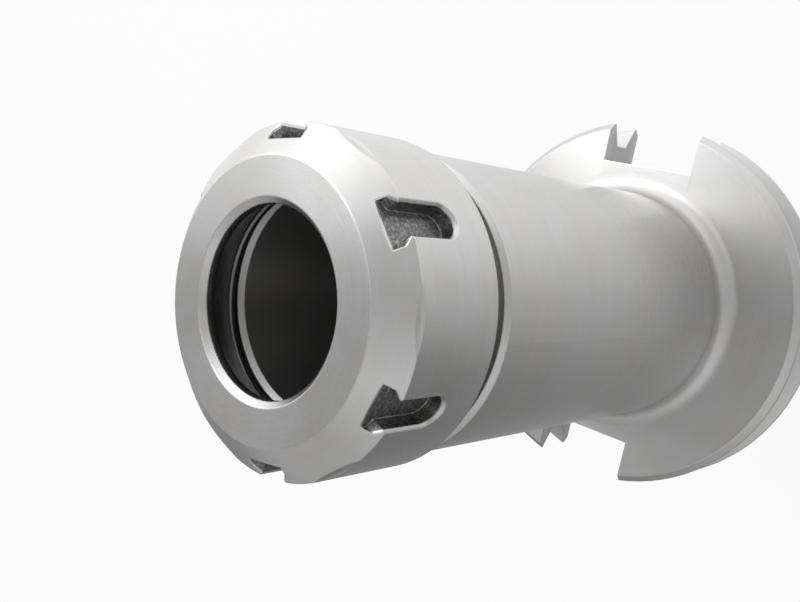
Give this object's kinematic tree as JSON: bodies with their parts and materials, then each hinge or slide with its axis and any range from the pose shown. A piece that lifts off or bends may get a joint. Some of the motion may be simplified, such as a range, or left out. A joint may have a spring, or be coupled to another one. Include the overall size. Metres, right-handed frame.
{
  "type": "collet chuck holder",
  "caption": "Long spring-collet chuck on a steep-taper spindle shank with a grooved, notched gripper flange and a slotted clamping nut on its threaded nose.",
  "frame": {"origin": "centre of the shank's small end face, on the tool axis", "axes": "+Z along the tool axis from the shank's small end to the clamping nut, +Y through the middle of the shallower drive slot, +X completes the right-handed set"},
  "size_m": [0.0984, 0.095, 0.2459],
  "materials": {
    "holder_steel": "fine turned and ground, satin",
    "nut_steel": "fine turned and ground, satin"
  },
  "bodies": {
    "holder": {"holder_body": "holder_steel"},
    "nut": {"clamping_nut": "nut_steel"}
  },
  "joints": [
    {"name": "nut_turn", "type": "hinge", "parent": "holder", "child": "nut", "pos_m": [0, 0, 0.2332], "axis": [0, 0, 1], "range_deg": [-300, 3060]}
  ]
}
